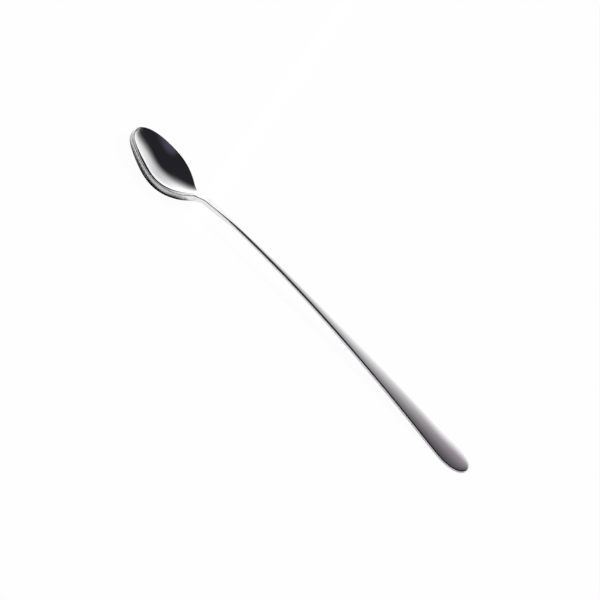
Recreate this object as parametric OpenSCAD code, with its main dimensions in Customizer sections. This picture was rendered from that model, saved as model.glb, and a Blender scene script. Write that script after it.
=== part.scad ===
// Iced tea spoon of polished stainless steel: a small deep bowl on a long, thin, arched handle.
// It lies on its bowl and on a small flat under the grip, with the table at z = 0.
// Along the spoon, x is measured from the bowl's tip; the part itself is centred on its length.

/* [Overall] */
// Length from the bowl's tip to the end of the handle
spoon_length = 210; // [180:1:240]

/* [Bowl] */
// Length of the bowl from its tip to its heel
bowl_length = 40.2; // [34:0.1:50]
// Width of the bowl across the outside of the rim
bowl_width = 24.7; // [19:0.1:32]
// Depth of the hollow below the lowest part of the rim
bowl_depth = 6.7; // [4.5:0.1:8.5]
// Thickness of the bowl's wall at the middle of its floor
bowl_wall = 1.2; // [0.8:0.05:2]
// Height of the rim at the tip above the lowest part of the rim
tip_rise = 2.2; // [0:0.1:4]
// Width of the rim seen from above
rim_width = 0.85; // [0.6:0.05:1.5]
// Height over which the rim rounds into the outside of the bowl
rim_drop = 0.4; // [0.2:0.05:0.8]
// Radius of the lip between the rim and the hollow
lip_round = 0.35; // [0.15:0.05:0.5]

/* [Neck and stem] */
// Length along the spoon over which the neck rises from the bowl
neck_length = 10.8; // [8:0.1:16]
// Width of the neck behind the heel
neck_width = 3.8; // [3:0.1:6]
// Thickness of the neck, measured upright
neck_thickness = 3.25; // [2.4:0.05:4.5]
// Width of the rounding along the neck's upper edges
neck_edge_round = 0.25; // [0.15:0.05:0.6]
// Height of the rounding along the neck's upper edges
neck_edge_drop = 0.3; // [0.2:0.05:0.8]
// Length of the stem from the top of the neck to its narrowest place
stem_length = 22; // [14:1:35]
// Width of the stem at its narrowest place
stem_width = 2.7; // [2:0.05:5]
// Thickness of the stem at its narrowest place
stem_thickness = 1.95; // [1.4:0.05:3]
// Width of the rounding along the stem's upper edges
stem_edge_round = 0.8; // [0.3:0.05:1]
// Height of the rounding along the stem's upper edges
stem_edge_drop = 1; // [0.3:0.05:1.2]

/* [Arch] */
// Height of the arch's crest above the table, to the edge of the stem
crest_height = 11.75; // [10.5:0.05:16]
// Distance of the crest from the top of the neck
crest_run = 15.6; // [8:0.1:30]
// Length of handle that the arch takes to turn from level to steady fall
arch_bend = 130; // [70:1:180]
// How far below the crest the handle leaves the neck
shoulder_drop = 0.7; // [0:0.05:1.5]
// Length of handle over which its toe turns up from the line of the arch
toe_run = 26; // [16:1:40]

/* [Grip] */
// Width of the grip where its end begins to round off
grip_width = 13.4; // [8:0.1:16]
// Thickness of the grip
grip_thickness = 2.3; // [1.8:0.05:3.5]
// Length of the rounded end
end_round = 14.2; // [10:0.1:24]
// Height of the crown across the top of the grip
crown_height = 0.47; // [0:0.01:1]
// Width of the rounding along the grip's upper edges
grip_edge_round = 0.6; // [0.3:0.05:0.9]
// Height of the rounding along the grip's upper edges
grip_edge_drop = 0.7; // [0.3:0.05:1.2]
// Depth of the flat dressed under the grip
foot_cut = 0.12; // [0.05:0.01:0.3]

/* [Hidden] */

// Places along the bowl, as shares of its length from the tip
thickening_share = 0.73;
squaring_share = 0.88;
neck_share = 0.881;
crease_share = 0.975;
belly_share = 1.087;
// Place where the handle lies on the table, as a share of the upturned toe
rest_share = 0.66;
// Most that the rounded edges take of the width on each side of the middle
edge_limit_share = 0.6;

// Powers of the bowl's curves, at the tip, along the heel and at the heel's end
tip_power = 0.41;
heel_power = 3.1;
floor_tip_power = 0.5;
floor_heel_power = 4;
crease_power = 1;
belly_tip_power = 0.4;
belly_heel_power = 6;
belly_end_power = 1.5;
heel_fillet_power = 3;
// Powers of the handle's curves: 2 is a parabola or an ellipse, higher powers are squarer
shoulder_power = 3;
toe_power = 3;
taper_power = 1.85;
end_power = 2.15;
// Powers of the sections
hollow_section_power = 3;
shallow_section_power = 2;
belly_section_power = 5.4;
crown_power = 2;
underside_power = 5;
underside_end_power = 0.5;

// The loft stops this short of the tip and the end, where its width would vanish
pole_gap = 0.01;
// Step over which the slope of the outline is measured
slope_step = 0.001;

// Counts of the loft: facets across half of each face, round each edge and along each stretch
across = 12;
edge_steps = 5;
tip_steps = 16;
heel_steps = 26;
handle_steps = 44;
end_steps = 14;
// Points of a section where the bars that close it start: its top at both ends, its edge at the weld
pole_turn = 0;
weld_turn = across + floor(edge_steps / 2);

// Share of the way from one place to another, held between 0 and 1
function along(x, from, to) = min(max((x - from) / (to - from), 0), 1);

// The same share, eased at both ends
function eased(x, from, to) = let (u = along(x, from, to)) pow(u, 3) * (10 - 15 * u + 6 * u * u);

function blend(a, b, share) = a + (b - a) * share;

// An egg-shaped rise and fall over 0 to 1, where it peaks, and the same with its peak at 1
function hump(u, tip, heel, end) = pow(u, tip) * pow(1 - pow(u, heel), end);
function peak_share(tip, heel, end) = pow(tip / (tip + end * heel), 1 / heel);
function egg(u, tip, heel, end) = hump(u, tip, heel, end) / hump(peak_share(tip, heel, end), tip, heel, end);

// Places along the spoon
widest_at = bowl_length * peak_share(tip_power, heel_power, crease_power);
thickening_at = bowl_length * thickening_share;
squaring_at = bowl_length * squaring_share;
crease_at = bowl_length * crease_share;
belly_at = bowl_length * belly_share;
deepest_at = crease_at * peak_share(belly_tip_power, belly_heel_power, crease_power);
neck_at = bowl_length * neck_share;
neck_end = neck_at + neck_length;
narrow_at = neck_end + stem_length;
crest_at = neck_end + crest_run;
round_at = spoon_length - end_round;
toe_at = spoon_length - toe_run;
rest_at = blend(toe_at, spoon_length, rest_share);

// Fall of the arch, level at its crest and steady far from it
function arch_shape(x) = sqrt(1 + pow((x - crest_at) / arch_bend, 2)) - 1;

// Heights that let the spoon lie on its bowl and on its grip. The grip is level where it rests: there the
// upturned toe has just made up for the fall of the arch.
rim_low = bowl_depth + bowl_wall;
rest_run = (rest_at - crest_at) / arch_bend;
rest_slope = rest_run / sqrt(1 + rest_run * rest_run) / arch_bend / arch_shape(rest_at);
arch_fall =
    (crest_height - grip_thickness + foot_cut) / (1 - rest_slope * toe_run * rest_share / toe_power);
toe_lift = arch_fall * rest_slope * toe_run / toe_power / pow(rest_share, toe_power - 1);

// 1 in the bowl and 0 on the handle, for what changes between their sections
function bowlness(x) = 1 - eased(x, squaring_at, neck_end);

// Half width of the bowl: an egg with a blunt tip and a pointed heel
function bowl_half(x) = bowl_width / 2 * egg(along(x, 0, bowl_length), tip_power, heel_power, crease_power);

// Half width of the handle: it narrows along the stem, then widens to the grip
function handle_half(x) =
    blend(neck_width, stem_width, eased(x, bowl_length, narrow_at)) / 2
    + (grip_width - stem_width) / 2
    * pow(max((x - narrow_at) / (round_at - narrow_at), 0), taper_power);

// Rounding of the handle's end
function end_share(x) = pow(1 - pow(along(x, round_at, spoon_length), end_power), 1 / end_power);

// Half width of the whole spoon, with a fillet where the bowl runs into the neck
function half_width(x) =
    let (
        bowl_side = pow(bowl_half(x), heel_fillet_power),
        handle_side = pow(handle_half(x) * eased(x, widest_at, bowl_length), heel_fillet_power)
    )
    pow(bowl_side + handle_side, 1 / heel_fillet_power) * end_share(x);

// Slope of the outline seen from above
function outline_slope(x) =
    (half_width(x + slope_step) - half_width(x - slope_step)) / (2 * slope_step);

// Height of the rim, which falls from the tip to the deepest part of the bowl
function rim_height(x) = rim_low + tip_rise * (1 - eased(x, 0, deepest_at));

// Height of the handle's edge: neck shoulder, crest, long fall and upturned toe
function handle_height(x) =
    crest_height
    - arch_fall * arch_shape(x) / arch_shape(rest_at)
    - shoulder_drop * pow(1 - along(x, neck_end, narrow_at), shoulder_power)
    + toe_lift * pow(along(x, toe_at, spoon_length), toe_power);

// Height of the upper edge of the whole spoon
function edge_height(x) = blend(rim_height(x), handle_height(x), eased(x, neck_at, neck_end));

// Depth of the hollow below the rim along the middle of the bowl, which ends in a crease at the heel
function hollow(x) =
    bowl_depth * egg(along(x, 0, crease_at), floor_tip_power, floor_heel_power, crease_power);

// Depth of the bowl's underside along the middle, which runs out smoothly under the neck
function belly(x) =
    bowl_depth * egg(along(x, 0, belly_at), belly_tip_power, belly_heel_power, belly_end_power);

// Height of the crown above the upper edges for each millimetre of half width; it grows towards the grip
function crown_rate(x) = crown_height / (grip_width / 2) * along(x, neck_end, round_at);

// Size that goes from its value on the neck to those on the stem and the grip
function along_handle(x, neck, stem, grip) =
    neck + (stem - neck) * eased(x, neck_end, narrow_at) + (grip - stem) * eased(x, narrow_at, round_at);

// Upright thickness along the middle of the spoon
function thickness(x) =
    blend(
        bowl_wall,
        along_handle(x, neck_thickness, stem_thickness, grip_thickness),
        eased(x, thickening_at, neck_end)
    );

// Width and height of the rounding along the upper edges, or of the rim on the bowl
function rounding(x) =
    blend(along_handle(x, neck_edge_round, stem_edge_round, grip_edge_round), rim_width, bowlness(x));
function edge_drop(x) =
    blend(along_handle(x, neck_edge_drop, stem_edge_drop, grip_edge_drop), rim_drop, bowlness(x));

// Half of a section, from the middle of its top over the lip and the edge to the middle of its underside.
// The lip turns from the hollow's wall to level, and the edge from there to upright.
function half_section(x) =
    let (
        bowl_share = bowlness(x),
        outer = half_width(x),
        slope = outline_slope(x),
        lean = sqrt(1 + slope * slope),
        depth = hollow(x),
        lip = min(lip_round * bowl_share, depth / 2),
        rim = min(rounding(x), outer * lean * edge_limit_share) - lip,
        drop = edge_drop(x),
        body = belly(x) + thickness(x) - drop,
        hollow_power = blend(shallow_section_power, hollow_section_power, depth / bowl_depth),
        top_power = blend(crown_power, hollow_power, bowl_share),
        low_power = blend(underside_power, belly_section_power, bowl_share),
        low_end = blend(underside_end_power, 1, bowl_share),
        lip_from = 90 - atan(hollow_power * depth * lean / outer),
        sag = depth - lip * (1 - sin(lip_from)) - crown_rate(x) * outer,
        edge_from = atan(crown_power * crown_rate(x) * rim / drop),
        lip_run = lip * (90 - lip_from),
        lip_part = lip_run / (lip_run + (rim + drop) / 2 * (90 - edge_from)),
        turns = concat(
            [for (i = [0 : across]) [sin(90 * i / across), lip_from, edge_from, 1]],
            [
                for (i = [1 : edge_steps])
                    [
                        1,
                        lip_part > 0 ? blend(lip_from, 90, along(i / edge_steps, 0, lip_part)) : 90,
                        blend(edge_from, 90, along(i / edge_steps, lip_part, 1)),
                        1
                    ]
            ],
            [for (i = [1 : across]) [1, 90, 90, cos(90 * i / across)]]
        )
    )
    [
        for (turn = turns)
            let (inset = rim * (1 - sin(turn[2])) + lip * cos(turn[1]))
            [
                x + inset * slope / lean,
                (outer - inset / lean) * turn[0] * turn[3],
                edge_height(x)
                    - drop * (1 - cos(turn[2]))
                    - lip * (1 - sin(turn[1]))
                    - sag * (1 - pow(turn[0], top_power))
                    - body * pow(1 - pow(turn[3], low_power), low_end)
            ]
    ];

// Closed section of the spoon: one half and its mirror image
function section(x) =
    let (half = half_section(x))
    concat(half, [for (i = [len(half) - 2 : -1 : 1]) [half[i].x, -half[i].y, half[i].z]]);

// Triangles that close a ring of points: bars between the points at equal distances from the one at turn
function cap(ring, turn) = [
    for (j = [turn : turn + ring / 2 - 1])
        let (
            a = j % ring,
            b = (j + 1) % ring,
            c = (2 * turn - j - 1 + ring) % ring,
            d = (2 * turn - j + ring) % ring
        )
        each [if (b != c) [a, b, c], if (a != d) [a, c, d]]
];

// Solid through the sections at the places xs, with its ends closed by bars that start from the given turns
module loft(xs, first_turn, last_turn) {
    ring = 2 * (2 * across + edge_steps);
    last = (len(xs) - 1) * ring;
    side_faces = [
        for (i = [0 : len(xs) - 2], j = [0 : ring - 1])
            let (
                a = i * ring + j,
                b = i * ring + (j + 1) % ring,
                c = a + ring,
                d = b + ring
            )
            each [[a, b, d], [a, d, c]]
    ];
    polyhedron(
        points = [for (x = xs) each section(x)],
        faces = concat(
            side_faces,
            [for (f = cap(ring, first_turn)) [f[2], f[1], f[0]]],
            [for (f = cap(ring, last_turn)) [last + f[0], last + f[1], last + f[2]]]
        )
    );
}

// Bowl with its rim, heel and neck, up to the weld at the top of the neck
module bowl() {
    xs = concat(
        [for (i = [0 : tip_steps - 1]) pole_gap + (widest_at - pole_gap) * (1 - cos(90 * i / tip_steps))],
        [for (i = [0 : heel_steps]) blend(widest_at, neck_end, i / heel_steps)]
    );
    color("silver")
        translate([-spoon_length / 2, 0, 0])
            loft(xs, pole_turn, weld_turn);
}

// Stem and grip in one piece, with the flat that the handle lies on
module handle() {
    xs = concat(
        [for (i = [0 : handle_steps - 1]) blend(neck_end, round_at, i / handle_steps)],
        [for (i = [0 : end_steps]) blend(round_at, spoon_length - pole_gap, sin(90 * i / end_steps))]
    );
    color("gainsboro")
        translate([-spoon_length / 2, 0, 0])
            difference() {
                loft(xs, weld_turn, pole_turn);
                translate([toe_at, -grip_width, -grip_thickness])
                    cube([2 * toe_run, 2 * grip_width, grip_thickness]);
            }
}

bowl();
handle();
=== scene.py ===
"""Iced tea spoon of polished steel, lying face up on a pale table.

The bowl and the handle are lofted by one node tree from the part's named sizes, with a tighter edge at the
rim. Places along the spoon are in millimetres from the bowl's tip. The two pieces meet at the weld at the top
of the neck, with one set of normals across it.
"""
import logging
import math
from dataclasses import dataclass, fields
from enum import Enum
from typing import Union

import bmesh
import bpy
import numpy as np
from mathutils import Matrix, Vector


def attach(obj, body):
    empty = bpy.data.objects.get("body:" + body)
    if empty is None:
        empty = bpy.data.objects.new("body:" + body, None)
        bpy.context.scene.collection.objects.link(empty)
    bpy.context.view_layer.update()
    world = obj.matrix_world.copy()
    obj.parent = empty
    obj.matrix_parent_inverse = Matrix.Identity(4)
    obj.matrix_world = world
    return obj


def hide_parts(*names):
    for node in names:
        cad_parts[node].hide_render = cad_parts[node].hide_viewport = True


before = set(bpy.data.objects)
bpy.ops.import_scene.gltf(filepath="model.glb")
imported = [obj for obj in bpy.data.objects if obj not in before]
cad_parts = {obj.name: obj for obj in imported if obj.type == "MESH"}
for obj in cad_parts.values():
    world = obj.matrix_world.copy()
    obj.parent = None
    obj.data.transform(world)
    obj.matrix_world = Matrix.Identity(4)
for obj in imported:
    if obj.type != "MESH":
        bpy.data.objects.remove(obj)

LOG = logging.getLogger("spoon")
MM = 0.001
QUARTER_TURN = math.pi / 2
Number = Union[float, "Field"]
Span = tuple[float, float]
Triple = tuple[float, float, float]


class Crowd(Enum):
    """Where the stations of a loft crowd together."""

    AT_START = 0.0
    AT_END = 1.0


class Slot(Enum):
    """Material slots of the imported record."""

    STEEL = "polished_steel"


def peak_share(tip: float, heel: float, end: float) -> float:
    """Place of the peak of an egg curve, as a share of its length.

    Args:
        tip: power of the rise at the tip.
        heel: power of the fall along the heel.
        end: power at the heel's end.

    Returns:
        The share from 0 to 1.
    """
    return (tip / (tip + end * heel)) ** (1 / heel)


@dataclass(frozen=True)
class SpoonSizes:
    """Sizes of the spoon, lengths in millimetres; the shares and powers have no unit."""

    spoon_length: float = 210.0
    bowl_length: float = 40.2
    bowl_width: float = 24.7
    bowl_depth: float = 6.7
    bowl_wall: float = 1.2
    tip_rise: float = 2.2
    rim_width: float = 0.65
    rim_drop: float = 0.22
    lip_round: float = 0.35
    neck_length: float = 10.8
    neck_width: float = 3.8
    neck_thickness: float = 3.25
    stem_length: float = 22.0
    stem_width: float = 2.7
    stem_thickness: float = 1.95
    crest_height: float = 11.75
    crest_run: float = 15.6
    arch_bend: float = 130.0
    shoulder_drop: float = 0.7
    toe_run: float = 26.0
    grip_width: float = 13.4
    grip_thickness: float = 2.3
    end_round: float = 14.2
    crown_height: float = 0.47
    neck_edge_round: float = 0.25
    neck_edge_drop: float = 0.3
    stem_edge_round: float = 0.8
    stem_edge_drop: float = 1.0
    grip_edge_round: float = 0.6
    grip_edge_drop: float = 0.7
    foot_cut: float = 0.12
    edge_limit_share: float = 0.6
    thickening_share: float = 0.73
    squaring_share: float = 0.88
    neck_share: float = 0.881
    crease_share: float = 0.975
    belly_share: float = 1.087
    rest_share: float = 0.66
    tip_power: float = 0.41
    heel_power: float = 3.1
    floor_tip_power: float = 0.5
    floor_heel_power: float = 4.0
    belly_tip_power: float = 0.4
    belly_heel_power: float = 6.0
    crease_power: float = 1.0
    belly_end_power: float = 1.5
    heel_fillet_power: float = 3.0
    shoulder_power: float = 3.0
    toe_power: float = 3.0
    taper_power: float = 1.85
    end_power: float = 2.15
    hollow_section_power: float = 3.0
    belly_section_power: float = 5.4
    crown_power: float = 2.0
    underside_power: float = 5.0
    underside_end_power: float = 0.5

    @property
    def neck_end(self) -> float:
        """Place of the weld, at the top of the neck."""
        return self.bowl_length * self.neck_share + self.neck_length

    def places(self) -> dict[str, float]:
        """Places along the spoon and heights that follow from the sizes.

        Returns:
            Values by name.
        """
        crease_at = self.bowl_length * self.crease_share
        crest_at = self.neck_end + self.crest_run
        toe_at = self.spoon_length - self.toe_run
        rest_at = toe_at + self.toe_run * self.rest_share
        turn = (rest_at - crest_at) / self.arch_bend
        rest_arch = math.hypot(1, turn) - 1
        rest_slope = turn / math.hypot(1, turn) / self.arch_bend / rest_arch
        arch_fall = (self.crest_height - self.grip_thickness + self.foot_cut) / (
            1 - rest_slope * self.toe_run * self.rest_share / self.toe_power
        )
        toe_rise = arch_fall * rest_slope * self.toe_run / self.toe_power
        widest_share = peak_share(self.tip_power, self.heel_power, self.crease_power)
        deepest_share = peak_share(self.belly_tip_power, self.belly_heel_power, self.crease_power)
        return {
            "widest_at": self.bowl_length * widest_share,
            "thickening_at": self.bowl_length * self.thickening_share,
            "squaring_at": self.bowl_length * self.squaring_share,
            "crease_at": crease_at,
            "belly_at": self.bowl_length * self.belly_share,
            "deepest_at": crease_at * deepest_share,
            "neck_at": self.bowl_length * self.neck_share,
            "neck_end": self.neck_end,
            "narrow_at": self.neck_end + self.stem_length,
            "crest_at": crest_at,
            "round_at": self.spoon_length - self.end_round,
            "toe_at": toe_at,
            "rim_low": self.bowl_depth + self.bowl_wall,
            "arch_fall": arch_fall / rest_arch,
            "toe_lift": toe_rise / self.rest_share ** (self.toe_power - 1),
        }

    def named(self) -> dict[str, float]:
        """All sizes and places by name."""
        return {f.name: getattr(self, f.name) for f in fields(self)} | self.places()


class Field:
    """A number that may differ from point to point: a tree's socket, with arithmetic that adds nodes."""

    def __init__(self, graph: "Graph", socket: bpy.types.NodeSocket) -> None:
        """Holds a socket of the graph."""
        self.graph = graph
        self.socket = socket

    def __add__(self, other: Number) -> "Field":
        """Sum."""
        return self.graph.math("ADD", self, other)

    def __sub__(self, other: Number) -> "Field":
        """Difference."""
        return self.graph.math("SUBTRACT", self, other)

    def __mul__(self, other: Number) -> "Field":
        """Product."""
        return self.graph.math("MULTIPLY", self, other)

    def __truediv__(self, other: Number) -> "Field":
        """Quotient."""
        return self.graph.math("DIVIDE", self, other)

    def __pow__(self, other: Number) -> "Field":
        """Power."""
        return self.graph.math("POWER", self, other)

    def __rsub__(self, other: float) -> "Field":
        """Difference from a plain number."""
        return self.graph.math("SUBTRACT", other, self)

    def __rtruediv__(self, other: float) -> "Field":
        """Quotient of a plain number."""
        return self.graph.math("DIVIDE", other, self)

    __radd__ = __add__
    __rmul__ = __mul__


class Graph:
    """A geometry node tree under construction, whose named inputs appear when they are first asked for."""

    def __init__(self, name: str) -> None:
        """Makes an empty tree.

        Args:
            name: name of the tree.
        """
        self.tree = bpy.data.node_groups.new(name, "GeometryNodeTree")
        self.entry = self.tree.nodes.new("NodeGroupInput")
        self.exit = self.tree.nodes.new("NodeGroupOutput")

    def size(self, name: str) -> Field:
        """Finds the input of that name, or makes it on first use.

        Args:
            name: name of the input.

        Returns:
            Its value.
        """
        if name not in self.entry.outputs:
            self.tree.interface.new_socket(name, in_out="INPUT", socket_type="NodeSocketFloat")
        return Field(self, self.entry.outputs[name])

    def put(self, socket: bpy.types.NodeSocket, value: Union[Number, bpy.types.NodeSocket]) -> None:
        """Links or sets an input socket.

        Args:
            socket: input socket of a node.
            value: field, output socket or plain number.
        """
        if isinstance(value, Field):
            value = value.socket
        if isinstance(value, bpy.types.NodeSocket):
            self.tree.links.new(value, socket)
        else:
            socket.default_value = value

    def node(self, kind: str, **values: Union[Number, bpy.types.NodeSocket]) -> bpy.types.Node:
        """Adds a node.

        Args:
            kind: type of the node.
            values: its inputs by name, with underscores for spaces.

        Returns:
            The node.
        """
        made = self.tree.nodes.new(kind)
        for name, value in values.items():
            self.put(made.inputs[name.replace("_", " ")], value)
        return made

    def math(self, operation: str, *values: Number) -> Field:
        """Adds a Math node.

        Args:
            operation: what it does.
            values: its operands in order.

        Returns:
            The result.
        """
        made = self.tree.nodes.new("ShaderNodeMath")
        made.operation = operation
        for socket, value in zip(made.inputs, values):
            self.put(socket, value)
        return Field(self, made.outputs[0])

    def along(self, x: Number, start: Number, end: Number, kind: str = "LINEAR") -> Field:
        """Share of the way from start to end, held between 0 and 1.

        Args:
            x: where to look.
            start: place of share 0.
            end: place of share 1.
            kind: LINEAR, or SMOOTHERSTEP to ease both ends.

        Returns:
            The share.
        """
        made = self.tree.nodes.new("ShaderNodeMapRange")
        made.interpolation_type = kind
        for name, value in (("Value", x), ("From Min", start), ("From Max", end)):
            self.put(made.inputs[name], value)
        return Field(self, made.outputs["Result"])

    def eased(self, x: Number, start: Number, end: Number) -> Field:
        """Share of the way from start to end, eased at both ends."""
        return self.along(x, start, end, "SMOOTHERSTEP")

    def call(self, group: "Graph", **given: Number) -> Field:
        """Adds another graph as a group; inputs that aren't given come from those of the same name here.

        Args:
            group: graph with one output.
            given: inputs by name.

        Returns:
            Its result.
        """
        made = self.tree.nodes.new("GeometryNodeGroup")
        made.node_tree = group.tree
        for socket in made.inputs:
            self.put(socket, given[socket.name] if socket.name in given else self.size(socket.name))
        return Field(self, made.outputs[0])

    def give(self, value: Union[Field, bpy.types.NodeSocket], kind: str = "NodeSocketFloat") -> "Graph":
        """Makes the tree's one output.

        Args:
            value: what it puts out.
            kind: type of the output socket.

        Returns:
            The graph itself.
        """
        self.tree.interface.new_socket("Result", in_out="OUTPUT", socket_type=kind)
        self.put(self.exit.inputs[0], value)
        return self


def blend(a: Number, b: Number, share: Field) -> Field:
    """Value that goes from a to b as share goes from 0 to 1."""
    return a + (b - a) * share


def egg_graph() -> Graph:
    """Group for an egg-shaped rise and fall over a share of 0 to 1, with its peak at 1.

    Returns:
        The group, with inputs share, tip, heel and end.
    """
    g = Graph("Egg curve")
    tip, heel, end = g.size("tip"), g.size("heel"), g.size("end")

    def hump(u: Field) -> Field:
        """The curve before its peak is brought to 1."""
        return u**tip * (1.0 - u**heel) ** end

    return g.give(hump(g.size("share")) / hump((tip / (tip + end * heel)) ** (1.0 / heel)))


def outline_graph(egg: Graph) -> Graph:
    """Group for the half width of the spoon at a place x.

    Args:
        egg: group of the egg curve.

    Returns:
        The group, with input x and the sizes that it needs.
    """
    g = Graph("Spoon outline")
    s, x = g.size, g.size("x")
    bowl_share = g.call(
        egg,
        share=g.along(x, 0.0, s("bowl_length")),
        tip=s("tip_power"),
        heel=s("heel_power"),
        end=s("crease_power"),
    )
    along_grip = (x - s("narrow_at")) / (s("round_at") - s("narrow_at"))
    widening = g.math("MAXIMUM", along_grip, 0.0) ** s("taper_power")
    handle = blend(s("neck_width"), s("stem_width"), g.eased(x, s("bowl_length"), s("narrow_at")))
    handle = (handle + (s("grip_width") - s("stem_width")) * widening) * 0.5
    handle = handle * g.eased(x, s("widest_at"), s("bowl_length"))
    fillet = s("heel_fillet_power")
    side = ((s("bowl_width") * 0.5 * bowl_share) ** fillet + handle**fillet) ** (1.0 / fillet)
    end = (1.0 - g.along(x, s("round_at"), s("spoon_length")) ** s("end_power")) ** (1.0 / s("end_power"))
    return g.give(side * end)


@dataclass(frozen=True)
class Ring:
    """How many facets one half of a section has, from the middle of the top to that of the underside."""

    top: int = 30
    inner_lip: int = 5
    outer_lip: int = 8
    underside: int = 30

    @property
    def total(self) -> int:
        """Facets of the half section."""
        return self.top + self.inner_lip + self.outer_lip + self.underside

    def limits(self) -> Triple:
        """Shares of the half section at which the inner lip, the outer lip and the underside start."""
        marks = np.cumsum([self.top, self.inner_lip, self.outer_lip]) / self.total
        return float(marks[0]), float(marks[1]), float(marks[2])


class Loft:
    """The node tree that makes the skin of a stretch of the spoon, open where it ends at the weld."""

    # Step to either side for the outline's slope, in mm.
    SLOPE_STEP = 0.004
    # How far inside the tip and the end that slope is taken, where it has no limit, in mm.
    POLE_GAP = 0.01
    # The lip takes up at most this share of the hollow's depth.
    LIP_LIMIT_SHARE = 0.5
    # Power of the hollow's section where the hollow runs out.
    SHALLOW_SECTION_POWER = 2.0
    # Keeps the slope of the hollow's wall finite at the tip, in mm.
    LEAST_HALF_WIDTH = 0.1
    # Points of the skin that are closer than this are one point, in metres.
    MERGE_DISTANCE = 1e-6

    def __init__(self, ring: Ring) -> None:
        """Builds the tree.

        Args:
            ring: facets round a section.
        """
        self.ring = ring
        self.graph = Graph("Spoon loft")
        self.egg = egg_graph()
        self.outline = outline_graph(self.egg)
        self._build()

    def _edge_height(self, x: Field) -> Field:
        """Height of the spoon's upper edge: rim, neck, arch and upturned toe.

        Args:
            x: place along the spoon.

        Returns:
            The height over the table.
        """
        g, s = self.graph, self.graph.size
        rim = s("rim_low") + s("tip_rise") * (1.0 - g.eased(x, 0.0, s("deepest_at")))
        arch = g.math("SQRT", ((x - s("crest_at")) / s("arch_bend")) ** 2.0 + 1.0) - 1.0
        shoulder = (1.0 - g.along(x, s("neck_end"), s("narrow_at"))) ** s("shoulder_power")
        toe = g.along(x, s("toe_at"), s("spoon_length")) ** s("toe_power")
        handle = s("crest_height") - s("arch_fall") * arch - s("shoulder_drop") * shoulder
        handle = handle + s("toe_lift") * toe
        return blend(rim, handle, g.eased(x, s("neck_at"), s("neck_end")))

    def _along_handle(self, x: Field, what: str) -> Field:
        """A size that goes from its value on the neck to those on the stem and the grip.

        Args:
            x: place along the spoon.
            what: end of the name of the three sizes.

        Returns:
            The size at x.
        """
        g, s = self.graph, self.graph.size
        stem = (s("stem_" + what) - s("neck_" + what)) * g.eased(x, s("neck_end"), s("narrow_at"))
        grip = (s("grip_" + what) - s("stem_" + what)) * g.eased(x, s("narrow_at"), s("round_at"))
        return s("neck_" + what) + stem + grip

    def _thickness(self, x: Field) -> Field:
        """Upright thickness along the middle of the spoon.

        Args:
            x: place along the spoon.

        Returns:
            The thickness at x.
        """
        g, s = self.graph, self.graph.size
        handle = self._along_handle(x, "thickness")
        return blend(s("bowl_wall"), handle, g.eased(x, s("thickening_at"), s("neck_end")))

    def _depth_share(self, x: Field, face: str, length: str, end: str) -> Field:
        """Share of the bowl's depth that the middle of one of its faces has.

        Args:
            x: place along the spoon.
            face: floor or belly, the start of the names of its powers.
            length: name of the place where the face runs out.
            end: name of the power at that place.

        Returns:
            The share at x.
        """
        g, s = self.graph, self.graph.size
        share = g.along(x, 0.0, s(length))
        tip, heel = s(face + "_tip_power"), s(face + "_heel_power")
        return g.call(self.egg, share=share, tip=tip, heel=heel, end=s(end))

    def _build(self) -> None:
        """Lays a grid of stations and ring points onto the spoon's skin."""
        g, s = self.graph, self.graph.size
        g.tree.interface.new_socket("stations", in_out="INPUT", socket_type="NodeSocketInt")
        # The grid's X runs from -0.5 to 0.5 along the stretch, its Y from -1 to 1 round the section.
        grid = g.node(
            "GeometryNodeMeshGrid",
            Size_X=1.0,
            Size_Y=2.0,
            Vertices_X=g.entry.outputs["stations"],
            Vertices_Y=2 * self.ring.total + 1,
        )
        at = g.node("ShaderNodeSeparateXYZ", Vector=g.node("GeometryNodeInputPosition").outputs[0])
        turn = (Field(g, at.outputs["X"]) + 0.5) * QUARTER_TURN
        half = g.math("ABSOLUTE", Field(g, at.outputs["Y"]))
        side = g.math("SIGN", Field(g, at.outputs["Y"]))
        station = blend(1.0 - g.math("COSINE", turn), g.math("SINE", turn), s("crowd"))
        x = blend(s("from"), s("to"), station)

        # The bowl's share in the section, from 1 on the bowl to 0 on the handle.
        bowl = 1.0 - g.eased(x, s("squaring_at"), s("neck_end"))
        # Half width, its slope, and the length of the edge per length along the spoon.
        outer = g.call(self.outline, x=x)
        inside = g.math("MINIMUM", g.math("MAXIMUM", x, self.POLE_GAP), s("spoon_length") - self.POLE_GAP)
        ahead, behind = (g.call(self.outline, x=inside + d) for d in (self.SLOPE_STEP, -self.SLOPE_STEP))
        slope = (ahead - behind) / (2 * self.SLOPE_STEP)
        lean = g.math("SQRT", slope * slope + 1.0)
        # Depths of the hollow and the belly, the lip round the hollow, the edge outside it and the crown.
        hollow_share = self._depth_share(x, "floor", "crease_at", "crease_power")
        hollow = s("bowl_depth") * hollow_share
        belly = s("bowl_depth") * self._depth_share(x, "belly", "belly_at", "belly_end_power")
        lip = g.math("MINIMUM", s("lip_round") * bowl, hollow * self.LIP_LIMIT_SHARE)
        limit = (ahead + behind) * 0.5 * lean * s("edge_limit_share")
        rim = g.math("MINIMUM", blend(self._along_handle(x, "edge_round"), s("rim_width"), bowl), limit) - lip
        drop = blend(self._along_handle(x, "edge_drop"), s("rim_drop"), bowl)
        crown_slope = s("crown_height") * g.along(x, s("neck_end"), s("round_at")) * 2.0 / s("grip_width")

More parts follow.
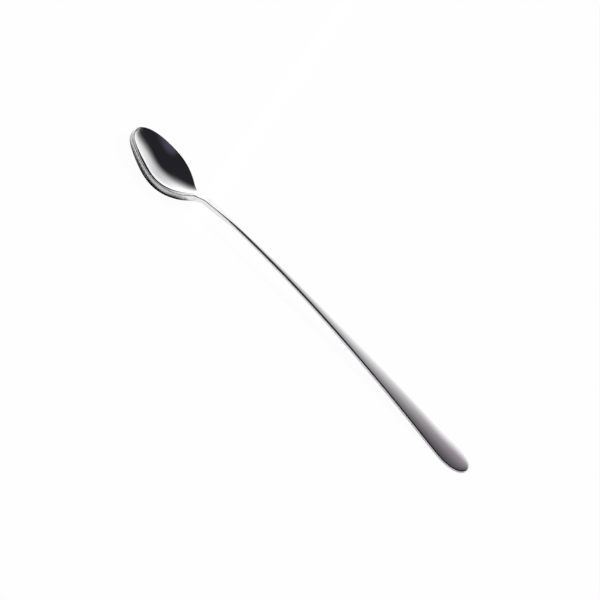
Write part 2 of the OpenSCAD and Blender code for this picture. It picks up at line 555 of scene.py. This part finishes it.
        # Round the section, the top, the lip, the edge and the underside each take their turn.
        lip_from, rim_from, under_from = self.ring.limits()
        top_turn = g.along(half, 0.0, lip_from) * QUARTER_TURN
        hollow_power = blend(self.SHALLOW_SECTION_POWER, s("hollow_section_power"), hollow_share)
        wall_slope = hollow_power * hollow * lean / g.math("MAXIMUM", outer, self.LEAST_HALF_WIDTH)
        lip_start = QUARTER_TURN - g.math("ARCTANGENT", wall_slope)
        lip_turn = blend(lip_start, QUARTER_TURN, g.along(half, lip_from, rim_from))
        sag = hollow - lip * (1.0 - g.math("SINE", lip_start)) - crown_slope * outer
        rim_turn = blend(
            g.math("ARCTANGENT", s("crown_power") * crown_slope * rim / drop),
            QUARTER_TURN,
            g.along(half, rim_from, under_from),
        )
        under_turn = g.along(half, under_from, 1.0) * QUARTER_TURN
        top_s, under_s = g.math("SINE", top_turn), g.math("COSINE", under_turn)

        top_depth = 1.0 - top_s ** blend(s("crown_power"), hollow_power, bowl)
        under_depth = (1.0 - under_s ** blend(s("underside_power"), s("belly_section_power"), bowl)) ** blend(
            s("underside_end_power"), 1.0, bowl
        )
        inset = rim * (1.0 - g.math("SINE", rim_turn)) + lip * g.math("COSINE", lip_turn)
        y = g.math("MAXIMUM", outer - inset / lean, 0.0) * top_s * under_s * side
        z = (
            self._edge_height(x)
            - drop * (1.0 - g.math("COSINE", rim_turn))
            - lip * (1.0 - g.math("SINE", lip_turn))
            - sag * top_depth
            - (belly + self._thickness(x) - drop) * under_depth
        )
        place = g.node(
            "ShaderNodeCombineXYZ",
            X=(x + inset * slope / lean - s("spoon_length") * 0.5) * MM,
            Y=y * MM,
            Z=g.math("MAXIMUM", z, 0.0) * MM,
        )
        laid = g.node("GeometryNodeSetPosition", Geometry=grid.outputs["Mesh"], Position=place.outputs[0])
        gap = self.MERGE_DISTANCE
        closed = g.node("GeometryNodeMergeByDistance", Geometry=laid.outputs[0], Distance=gap)
        real = g.node("GeometryNodeRealizeInstances", Geometry=closed.outputs[0])
        g.tree.interface.new_socket("material", in_out="INPUT", socket_type="NodeSocketMaterial")
        steel = g.entry.outputs["material"]
        dressed = g.node("GeometryNodeSetMaterial", Geometry=real.outputs[0], Material=steel)
        g.give(dressed.outputs[0], "NodeSocketGeometry")

    def mesh(self, name: str, values: dict[str, object]) -> bpy.types.Mesh:
        """Runs the tree.

        Args:
            name: name of the new mesh.
            values: the tree's inputs by name.

        Returns:
            A plain mesh of that stretch, open where it ends at the weld.
        """
        blank = bpy.data.objects.new(name + "_blank", bpy.data.meshes.new(name + "_blank"))
        bpy.context.scene.collection.objects.link(blank)
        modifier = blank.modifiers.new("loft", "NODES")
        modifier.node_group = self.graph.tree
        for item in self.graph.tree.interface.items_tree:
            if item.in_out == "INPUT":
                modifier[item.identifier] = values[item.name]
        depsgraph = bpy.context.evaluated_depsgraph_get()
        mesh = bpy.data.meshes.new_from_object(blank.evaluated_get(depsgraph))
        mesh.name = name
        bpy.data.objects.remove(blank)
        return mesh


def shader_nodes(tree: bpy.types.NodeTree, *kinds: str) -> list[bpy.types.Node]:
    """Adds shader nodes.

    Args:
        tree: tree that they are added to.
        kinds: their types, without the start that all of them share.

    Returns:
        The nodes in order.
    """
    return [tree.nodes.new("ShaderNode" + kind) for kind in kinds]


def eased_range(tree: bpy.types.NodeTree, value: bpy.types.NodeSocket, span: Span) -> bpy.types.Node:
    """Adds a Map Range node that goes smoothly from 0 to 1.

    Args:
        tree: shader tree that it is added to.
        value: socket of the value to map.
        span: the values that give 0 and 1.

    Returns:
        The node.
    """
    made = tree.nodes.new("ShaderNodeMapRange")
    made.interpolation_type = "SMOOTHSTEP"
    made.inputs["From Min"].default_value, made.inputs["From Max"].default_value = span
    tree.links.new(value, made.inputs["Value"])
    return made


class EffectGroups:
    """Shader groups that both steel finishes use: polishing lines, handling marks and rubbed places."""

    SMUDGE_DETAIL = 4.0
    SMUDGE_SPAN = (0.48, 0.78)

    def __init__(self) -> None:
        """Builds the groups."""
        self.polish = self._polish()
        self.handling = self._handling()

    @staticmethod
    def _new(name: str, inputs: dict[str, float], outputs: tuple[str, ...]) -> tuple:
        """Makes an empty group.

        Args:
            name: name of the group.
            inputs: its inputs with their defaults.
            outputs: its outputs.

        Returns:
            The tree, its input node and its output node.
        """
        tree = bpy.data.node_groups.new(name, "ShaderNodeTree")
        for key, value in inputs.items():
            socket = tree.interface.new_socket(key, in_out="INPUT", socket_type="NodeSocketFloat")
            socket.default_value = value
        for key in outputs:
            tree.interface.new_socket(key, in_out="OUTPUT", socket_type="NodeSocketFloat")
        return tree, tree.nodes.new("NodeGroupInput"), tree.nodes.new("NodeGroupOutput")

    def _polish(self) -> bpy.types.NodeTree:
        """Group for the fine lines that a polishing wheel leaves, drawn out along the spoon.

        Returns:
            The group, which puts out Lines around 0.5.
        """
        inputs = {"Along": 60.0, "Across": 2600.0, "Detail": 3.0}
        tree, entry, out = self._new("Polishing lines", inputs, ("Lines",))
        link = tree.links.new
        coord, scale, mult, noise = shader_nodes(tree, "TexCoord", "CombineXYZ", "VectorMath", "TexNoise")
        mult.operation = "MULTIPLY"
        for axis, key in (("X", "Along"), ("Y", "Across"), ("Z", "Across")):
            link(entry.outputs[key], scale.inputs[axis])
        link(coord.outputs["Object"], mult.inputs[0])
        link(scale.outputs[0], mult.inputs[1])
        noise.inputs["Scale"].default_value = 1.0
        link(mult.outputs[0], noise.inputs["Vector"])
        link(entry.outputs["Detail"], noise.inputs["Detail"])
        link(noise.outputs["Fac"], out.inputs["Lines"])
        return tree

    def _handling(self) -> bpy.types.NodeTree:
        """Group for soft smudges from handling and for the places where the spoon rubs on the table.

        Returns:
            The group, which puts out Smudge and Rubbed from 0 to 1.
        """
        inputs = {"Scale": 90.0, "Rub Height": 0.0006}
        tree, entry, out = self._new("Handling marks", inputs, ("Smudge", "Rubbed"))
        link = tree.links.new
        coord, noise, split = shader_nodes(tree, "TexCoord", "TexNoise", "SeparateXYZ")
        noise.inputs["Detail"].default_value = self.SMUDGE_DETAIL
        link(coord.outputs["Object"], noise.inputs["Vector"])
        link(entry.outputs["Scale"], noise.inputs["Scale"])
        smudge = eased_range(tree, noise.outputs["Fac"], self.SMUDGE_SPAN)
        link(smudge.outputs["Result"], out.inputs["Smudge"])
        link(coord.outputs["Object"], split.inputs[0])
        rubbed = eased_range(tree, split.outputs["Z"], (0.0, 1.0))
        link(entry.outputs["Rub Height"], rubbed.inputs["From Max"])
        rubbed.inputs["To Min"].default_value, rubbed.inputs["To Max"].default_value = 1.0, 0.0
        link(rubbed.outputs["Result"], out.inputs["Rubbed"])
        return tree


@dataclass(frozen=True)
class SteelFinish:
    """A polished steel surface; the height of its polishing lines is in metres."""

    name: str
    bright: Triple = (0.80, 0.79, 0.80)
    dull: Triple = (0.74, 0.73, 0.735)
    gloss: float = 0.045
    smudge_rough: float = 0.05
    smudge_tint: float = 0.6
    rubbed_rough: float = 0.22
    line_rough: float = 0.02
    line_depth: float = 0.01
    line_height: float = 0.00002
    along: float = 60.0
    across: float = 2600.0

    def material(self, groups: EffectGroups) -> bpy.types.Material:
        """Builds the material.

        Args:
            groups: the shared effects.

        Returns:
            The material.
        """
        made = bpy.data.materials.new(self.name)
        made.use_nodes = True
        tree = made.node_tree
        link = tree.links.new
        shader = tree.nodes["Principled BSDF"]
        shader.inputs["Metallic"].default_value = 1.0
        polish, marks, colour, bump = shader_nodes(tree, "Group", "Group", "Mix", "Bump")
        polish.node_tree, marks.node_tree = groups.polish, groups.handling
        polish.inputs["Along"].default_value = self.along
        polish.inputs["Across"].default_value = self.across

        def add(
            a: bpy.types.NodeSocket, share: float, b: Union[float, bpy.types.NodeSocket]
        ) -> bpy.types.NodeSocket:
            """Adds a times share, plus b.

            Args:
                a: socket of the first value.
                share: what it is multiplied by.
                b: number or socket to which it is added.

            Returns:
                Socket of the sum.
            """
            node = tree.nodes.new("ShaderNodeMath")
            node.operation = "MULTIPLY_ADD"
            link(a, node.inputs[0])
            node.inputs[1].default_value = share
            if isinstance(b, bpy.types.NodeSocket):
                link(b, node.inputs[2])
            else:
                node.inputs[2].default_value = b
            return node.outputs[0]

        rough = add(marks.outputs["Smudge"], self.smudge_rough, self.gloss)
        rough = add(marks.outputs["Rubbed"], self.rubbed_rough, rough)
        link(add(polish.outputs["Lines"], self.line_rough, rough), shader.inputs["Roughness"])
        colour.data_type = "RGBA"
        colour.inputs["A"].default_value = (*self.bright, 1)
        colour.inputs["B"].default_value = (*self.dull, 1)
        link(add(marks.outputs["Smudge"], self.smudge_tint, 0.0), colour.inputs["Factor"])
        link(colour.outputs["Result"], shader.inputs["Base Color"])
        bump.inputs["Strength"].default_value = self.line_depth
        bump.inputs["Distance"].default_value = self.line_height
        link(polish.outputs["Lines"], bump.inputs["Height"])
        link(bump.outputs[0], shader.inputs["Normal"])
        return made


@dataclass
class SpoonPiece:
    """One welded half of the spoon, from start to end in millimetres from the bowl's tip."""

    # Decimals of a metre to which places are rounded before they are sorted.
    PLACE_DIGITS = 7

    node: str
    sizes: SpoonSizes
    start: float
    end: float
    crowd: Crowd
    stations: int
    finish: SteelFinish
    mesh: Union[bpy.types.Mesh, None] = None

    def build(self, loft: Loft, groups: EffectGroups) -> None:
        """Lofts the piece.

        Args:
            loft: the node tree.
            groups: the shared effects of the finish.
        """
        values = self.sizes.named() | {
            "from": self.start,
            "to": self.end,
            "crowd": self.crowd.value,
            "stations": self.stations,
            "material": self.finish.material(groups),
        }
        self.mesh = loft.mesh(self.node + "_skin", values)
        self.mesh.shade_smooth()

    def rim_of_weld(self) -> np.ndarray:
        """Finds the points of the open edge at the weld.

        Returns:
            Their indices, sorted by place so that both pieces list them in the same order.
        """
        used = np.zeros(len(self.mesh.edges), int)
        edges = np.zeros(len(self.mesh.loops), int)
        self.mesh.loops.foreach_get("edge_index", edges)
        np.add.at(used, edges, 1)
        ends = np.zeros((len(self.mesh.edges), 2), int)
        self.mesh.edges.foreach_get("vertices", ends.ravel())
        found = np.unique(ends[used == 1])
        places = self.points()[found]
        return found[np.lexsort(np.round(places, self.PLACE_DIGITS).T)]

    def points(self) -> np.ndarray:
        """Reads the mesh's points.

        Returns:
            One row per point.
        """
        places = np.zeros((len(self.mesh.vertices), 3), np.float32)
        self.mesh.vertices.foreach_get("co", places.ravel())
        return places

    def normals(self) -> np.ndarray:
        """Reads the mesh's normals at its points.

        Returns:
            One row per point.
        """
        found = np.zeros((len(self.mesh.vertices), 3), np.float32)
        self.mesh.vertex_normals.foreach_get("vector", found.ravel())
        return found

    def dress(self, normals: np.ndarray) -> bpy.types.Object:
        """Closes the weld face, sets the normals and hands the piece over for its CAD node.

        Args:
            normals: normals at the points.

        Returns:
            The finished object.
        """
        shape = bmesh.new()
        shape.from_mesh(self.mesh)
        bmesh.ops.holes_fill(shape, edges=[e for e in shape.edges if e.is_boundary])
        shape.to_mesh(self.mesh)
        shape.free()
        self.mesh.normals_split_custom_set_from_vertices(normals)
        made = bpy.data.objects.new(self.node + "_steel", self.mesh)
        bpy.context.scene.collection.objects.link(made)
        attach(made, "root")
        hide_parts(self.node)
        LOG.info("%s: %d points, %d faces", made.name, len(self.mesh.vertices), len(self.mesh.polygons))
        return made


@dataclass
class Spoon:
    """The whole spoon: bowl and handle, welded at the top of the neck."""

    sizes: SpoonSizes
    bowl_stations: int = 230
    handle_stations: int = 300

    def build(self) -> list[bpy.types.Object]:
        """Lofts both pieces and joins their normals at the weld.

        Returns:
            The finished objects.
        """
        loft, groups = Loft(Ring()), EffectGroups()
        weld, length = self.sizes.neck_end, self.sizes.spoon_length
        bowl_steel = SteelFinish("bowl_steel")
        handle_steel = SteelFinish("handle_steel", line_rough=0.03, along=35.0)
        bowl = SpoonPiece("bowl", self.sizes, 0.0, weld, Crowd.AT_START, self.bowl_stations, bowl_steel)
        handle = SpoonPiece(
            "handle", self.sizes, weld, length, Crowd.AT_END, self.handle_stations, handle_steel
        )
        for piece in (bowl, handle):
            piece.build(loft, groups)
        rims = [piece.rim_of_weld() for piece in (bowl, handle)]
        skins = [piece.normals() for piece in (bowl, handle)]
        shared = skins[0][rims[0]] + skins[1][rims[1]]
        shared /= np.linalg.norm(shared, axis=1, keepdims=True)
        for skin, rim in zip(skins, rims):
            skin[rim] = shared
        return [piece.dress(skin) for piece, skin in zip((bowl, handle), skins)]


@dataclass(frozen=True)
class Camera:
    """A long lens at the photograph's angle; degrees, and millimetres on the picture plane."""

    azimuth: float = -10.0
    elevation: float = 41.0
    turn: float = 50.472
    across: float = 261.6
    shift_along: float = -0.239
    shift_up: float = 4.227
    distance: float = 900.0

    def build(self) -> None:
        """Makes the camera and puts it in the scene."""
        a, e, t = (math.radians(v) for v in (self.azimuth, self.elevation, self.turn))
        along = Vector((math.cos(a), math.sin(a), 0))
        up = Vector((-math.sin(a) * math.sin(e), math.cos(a) * math.sin(e), math.cos(e)))
        back = Vector((math.sin(a) * math.cos(e), -math.cos(a) * math.cos(e), math.sin(e)))
        data = bpy.data.cameras.new("camera")
        data.type = "ORTHO"
        data.ortho_scale = self.across * MM
        made = bpy.data.objects.new("camera", data)
        bpy.context.scene.collection.objects.link(made)
        axes = Matrix((math.cos(t) * along + math.sin(t) * up, math.cos(t) * up - math.sin(t) * along, back))
        place = (self.shift_along * along + self.shift_up * up + self.distance * back) * MM
        made.matrix_world = Matrix.Translation(place) @ axes.transposed().to_4x4()
        bpy.context.scene.camera = made


def grey(level: float) -> Triple:
    """Neutral colour of that level."""
    return level, level, level


@dataclass(frozen=True)
class Studio:
    """A pale table, a white sweep behind the spoon and a dark room in front of it.

    The glowing strip of table under the stem is painted light and the dark oval of table under the bowl is a
    painted shadow; the grey net behind the grip paints shade and the glowing card behind the neck paints
    light.
    They only shape what the steel mirrors. Lengths are in metres and angles in degrees. A pair is where a
    fade starts and where it is complete. For "along" it is where a sheet starts and ends, and for the painted
    shadow's radii it is along and across the spoon.
    """

    floor_size: float = 3.0
    floor_colour: float = 0.5
    floor_roughness: float = 0.9
    floor_glow: float = 0.97
    # Painted light: a strip of table under the stem glows, so that the stem's sides and underside mirror
    # white.
    strip_painted_light: float = 1.0
    strip_start: Span = (-0.0645, -0.0615)
    strip_end: Span = (0.12, -0.07)
    strip_front: Span = (-0.026, -0.009)
    # Painted shadow: a near-black oval of table under the bowl, which darkens what the bowl's underside
    # mirrors.
    painted_shadow_colour: float = 0.02
    painted_shadow_centre: float = -0.0815
    painted_shadow_radii: Span = (0.017, 0.0106)
    painted_shadow_edge: Span = (1.1, 0.85)
    sweep: float = 1.6
    sweep_azimuth: float = 93.5
    sweep_elevation: float = 0.0
    sweep_fade: Span = (-0.22, 0.95)
    dark_azimuth: float = 317.2
    dark_elevation: float = 65.9
    dark_fade: Span = (0.849, -0.149)
    dark_power: float = 0.644
    room: Triple = (0.02, 0.02, 0.025)
    window: Triple = (0.09, 0.09, 0.125)
    window_azimuth: float = 297.0
    window_elevation: float = 6.0
    window_fade: Span = (0.79, 1.0)
    backdrop: float = 0.98
    key_power: float = 19.0
    key_size: float = 0.3
    key_place: Triple = (0.12, 0.0, 1.3)
    card_along: Span = (-0.072, 0.0)
    card_y: float = 0.012
    card_height: float = 0.04
    # Painted light: the card glows, though it is no lamp, to whiten what the neck mirrors.
    card_painted_light: float = 0.35
    card_start: Span = (-0.07, -0.06)
    card_end: Span = (-0.01, -0.045)
    card_facing: Span = (0.58, 0.36)
    net_along: Span = (0.0, 0.3)
    net_y: float = 0.03
    net_height: float = 0.3
    # Painted shade: the net's grey tint darkens what the grip mirrors of the sweep.
    net_start: Span = (0.02, 0.115)
    net_up: Span = (0.0082, 0.027)
    net_painted_shade: Triple = (0.385, 0.35, 0.38)

    def build(self) -> None:
        """Makes the table, the surroundings, the net, the card and the light."""
        self._table()
        self._surroundings()
        self._net()
        self._card()
        self._light()
        bpy.context.scene.view_settings.view_transform = "Standard"

    @staticmethod
    def _sheet(name: str, corners: list[Triple]) -> tuple[bpy.types.Object, bpy.types.Material]:
        """A flat sheet for the stage.

        Args:
            name: name of the sheet.
            corners: its four corners in order.

        Returns:
            The sheet and its new material.
        """
        mesh = bpy.data.meshes.new(name)
        mesh.from_pydata(corners, [], [(0, 1, 2, 3)])
        paint = bpy.data.materials.new(name + "_paint")
        paint.use_nodes = True
        mesh.materials.append(paint)
        made = bpy.data.objects.new(name, mesh)
        bpy.context.scene.collection.objects.link(made)
        return made, paint

    def _mirrored_sheet(self, name: str, along: Span, y: float, height: float) -> bpy.types.NodeTree:
        """Stands an upright sheet on the table that shows only in reflections.

        Args:
            name: name of the sheet.
            along: where it starts and ends along the spoon.
            y: its place across the spoon.
            height: its height.

        Returns:
            Node tree of its material, without a shader.
        """
        start, end = along
        corners = [(start, y, 0), (end, y, 0), (end, y, height), (start, y, height)]
        made, paint = self._sheet(name, corners)
        made.visible_camera = made.visible_shadow = made.visible_diffuse = False
        tree = paint.node_tree
        tree.nodes.remove(tree.nodes["Principled BSDF"])
        return tree

    @staticmethod
    def _fade(tree: bpy.types.NodeTree, axis: str, span: Span) -> bpy.types.NodeSocket:
        """Adds a share that goes smoothly from 0 to 1 between two places.

        Args:
            tree: node tree of a material.
            axis: X, Y or Z of the object.
            span: place of share 0 and place of share 1.

        Returns:
            Socket of the share.
        """
        coord, split = shader_nodes(tree, "TexCoord", "SeparateXYZ")
        tree.links.new(coord.outputs["Object"], split.inputs[0])
        return eased_range(tree, split.outputs[axis], span).outputs["Result"]

    @staticmethod
    def _product(tree: bpy.types.NodeTree, *shares: bpy.types.NodeSocket) -> bpy.types.NodeSocket:
        """Adds the product of some shares.

        Args:
            tree: shader tree.
            shares: sockets of the shares.

        Returns:
            Socket of the product.
        """
        result = shares[0]
        for share in shares[1:]:
            node = tree.nodes.new("ShaderNodeMath")
            node.operation = "MULTIPLY"
            tree.links.new(result, node.inputs[0])
            tree.links.new(share, node.inputs[1])
            result = node.outputs[0]
        return result

    def _painted_shadow_mask(self, tree: bpy.types.NodeTree) -> bpy.types.NodeSocket:
        """Adds the mask of a painted shadow: a share that is 1 in an oval under the bowl and fades to 0
        across its edge.

        Args:
            tree: node tree of the table's material.

        Returns:
            Socket of the share.
        """
        coord, scaled, radius = shader_nodes(tree, "TexCoord", "VectorMath", "VectorMath")
        scaled.operation, radius.operation = "MULTIPLY_ADD", "LENGTH"
        along, across = self.painted_shadow_radii
        scaled.inputs[1].default_value = (1 / along, 1 / across, 0)
        scaled.inputs[2].default_value = (-self.painted_shadow_centre / along, 0, 0)
        tree.links.new(coord.outputs["Object"], scaled.inputs[0])
        tree.links.new(scaled.outputs["Vector"], radius.inputs[0])
        return eased_range(tree, radius.outputs["Value"], self.painted_shadow_edge).outputs["Result"]

    def _table(self) -> None:
        """A plain pale table top, on which the camera sees only a faint shadow; the steel mirrors a painted
        shadow under the bowl and painted light under the stem.
        """
        h = self.floor_size / 2
        _, paint = self._sheet("table", [(-h, -h, 0), (h, -h, 0), (h, h, 0), (-h, h, 0)])
        tree = paint.node_tree
        link = tree.links.new
        shader = tree.nodes["Principled BSDF"]
        shader.inputs["Roughness"].default_value = self.floor_roughness
        shader.inputs["Specular IOR Level"].default_value = 0.0
        painted_shadow_tone, path, seen, strip, most, glow, mix = shader_nodes(
            tree, "Mix", "LightPath", "Math", "Math", "Math", "Emission", "MixShader"
        )
        # Painted shadow: the table's colour goes to near black in the oval under the bowl.
        painted_shadow_tone.data_type = "RGBA"
        painted_shadow_tone.inputs["A"].default_value = (*grey(self.floor_colour), 1)
        painted_shadow_tone.inputs["B"].default_value = (*grey(self.painted_shadow_colour), 1)
        link(self._painted_shadow_mask(tree), painted_shadow_tone.inputs["Factor"])
        link(painted_shadow_tone.outputs["Result"], shader.inputs["Base Color"])
        seen.operation, strip.operation, most.operation = "MULTIPLY", "MULTIPLY", "MAXIMUM"
        seen.inputs[1].default_value, strip.inputs[1].default_value = self.floor_glow, self.strip_painted_light
        link(path.outputs["Is Camera Ray"], seen.inputs[0])
        # Painted light: the strip under the stem glows in the steel's reflections; the camera sees the
        # table's even glow.
        spans = (("X", self.strip_start), ("X", self.strip_end), ("Y", self.strip_front))
        fades = (self._fade(tree, axis, span) for axis, span in spans)
        link(self._product(tree, *fades), strip.inputs[0])
        link(seen.outputs[0], most.inputs[0])
        link(strip.outputs[0], most.inputs[1])
        link(most.outputs[0], mix.inputs[0])
        link(shader.outputs[0], mix.inputs[1])
        link(glow.outputs[0], mix.inputs[2])
        link(mix.outputs[0], tree.nodes["Material Output"].inputs["Surface"])

    def _surroundings(self) -> None:
        """White sweep behind, fading to a dark room above and in front, with a faint window in it."""
        world = bpy.data.worlds.new("studio")
        bpy.context.scene.world = world
        world.use_nodes = True
        tree = world.node_tree
        link = tree.links.new
        coord, path, power = shader_nodes(tree, "TexCoord", "LightPath", "Math")

        def fade(azimuth: float, elevation: float, span: Span) -> bpy.types.NodeSocket:
            """Adds a share that goes smoothly from 0 to 1 as the view turns toward a direction.

            Args:
                azimuth: azimuth of the direction from +X.
                elevation: elevation of the direction.
                span: cosines of the angle to the direction that give 0 and 1.

            Returns:
                Socket of the share.
            """
            a, e = math.radians(azimuth), math.radians(elevation)
            dot = tree.nodes.new("ShaderNodeVectorMath")
            dot.operation = "DOT_PRODUCT"
            dot.inputs[1].default_value = (math.cos(e) * math.cos(a), math.cos(e) * math.sin(a), math.sin(e))
            link(coord.outputs["Generated"], dot.inputs[0])
            return eased_range(tree, dot.outputs["Value"], span).outputs["Result"]

        def mixed(
            share: bpy.types.NodeSocket, colour: Triple, under: Union[Triple, bpy.types.NodeSocket]
        ) -> bpy.types.NodeSocket:
            """Adds a colour laid over another.

            Args:
                share: socket of the upper colour's share.
                colour: the upper colour.
                under: the lower colour, or its socket.

            Returns:
                Socket of the colour.
            """
            mix = tree.nodes.new("ShaderNodeMix")
            mix.data_type = "RGBA"
            link(share, mix.inputs["Factor"])
            mix.inputs["B"].default_value = (*colour, 1)
            if isinstance(under, tuple):
                mix.inputs["A"].default_value = (*under, 1)
            else:
                link(under, mix.inputs["A"])
            return mix.outputs["Result"]

        power.operation = "POWER"
        power.inputs[1].default_value = self.dark_power
        link(fade(self.dark_azimuth, self.dark_elevation, self.dark_fade), power.inputs[0])
        behind = fade(self.sweep_azimuth, self.sweep_elevation, self.sweep_fade)
        white = self._product(tree, power.outputs[0], behind)
        window = fade(self.window_azimuth, self.window_elevation, self.window_fade)
        mirrored = mixed(white, grey(self.sweep), mixed(window, self.window, self.room))
        seen = mixed(path.outputs["Is Camera Ray"], grey(self.backdrop), mirrored)
        link(seen, tree.nodes["Background"].inputs["Color"])

    def _net(self) -> None:
        """A graded grey net behind the grip that only the steel shows: painted shade, which dims what the
        grip mirrors of the sweep.
        """
        tree = self._mirrored_sheet("net", self.net_along, self.net_y, self.net_height)
        link = tree.links.new
        tint, clear = shader_nodes(tree, "Mix", "BsdfTransparent")
        tint.data_type = "RGBA"
        tint.inputs["A"].default_value = (*grey(1.0), 1)
        tint.inputs["B"].default_value = (*self.net_painted_shade, 1)
        fades = (self._fade(tree, axis, span) for axis, span in (("X", self.net_start), ("Z", self.net_up)))
        link(self._product(tree, *fades), tint.inputs["Factor"])
        link(tint.outputs["Result"], clear.inputs["Color"])
        link(clear.outputs[0], tree.nodes["Material Output"].inputs["Surface"])

    def _card(self) -> None:
        """A small glowing card close behind the neck that only the steel shows: painted light, which whitens
        the neck's top and that of the shoulder.
        """
        tree = self._mirrored_sheet("card", self.card_along, self.card_y, self.card_height)
        link = tree.links.new
        facing, glow, clear, both = shader_nodes(
            tree, "LayerWeight", "Emission", "BsdfTransparent", "AddShader"
        )
        front = eased_range(tree, facing.outputs["Facing"], self.card_facing)
        front.inputs["To Max"].default_value = self.card_painted_light
        ends = (self._fade(tree, "X", span) for span in (self.card_start, self.card_end))
        link(self._product(tree, front.outputs["Result"], *ends), glow.inputs["Strength"])
        link(glow.outputs[0], both.inputs[0])
        link(clear.outputs[0], both.inputs[1])
        link(both.outputs[0], tree.nodes["Material Output"].inputs["Surface"])

    def _light(self) -> None:
        """A soft light overhead that lights the table and isn't mirrored in the steel."""
        data = bpy.data.lights.new("key", "AREA")
        data.size = self.key_size
        data.energy = self.key_power
        made = bpy.data.objects.new("key", data)
        made.location = self.key_place
        made.rotation_euler = (-Vector(self.key_place)).to_track_quat("-Z", "Y").to_euler()
        made.visible_glossy = False
        bpy.context.scene.collection.objects.link(made)


def main() -> None:
    """Builds the camera, the spoon and the studio."""
    logging.basicConfig(level=logging.INFO, format="%(name)s: %(message)s")
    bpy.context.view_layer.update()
    Camera().build()
    for piece in Spoon(SpoonSizes()).build():
        LOG.info("%s stands in the scene", piece.name)
    Studio().build()


if __name__ == "__main__":
    main()
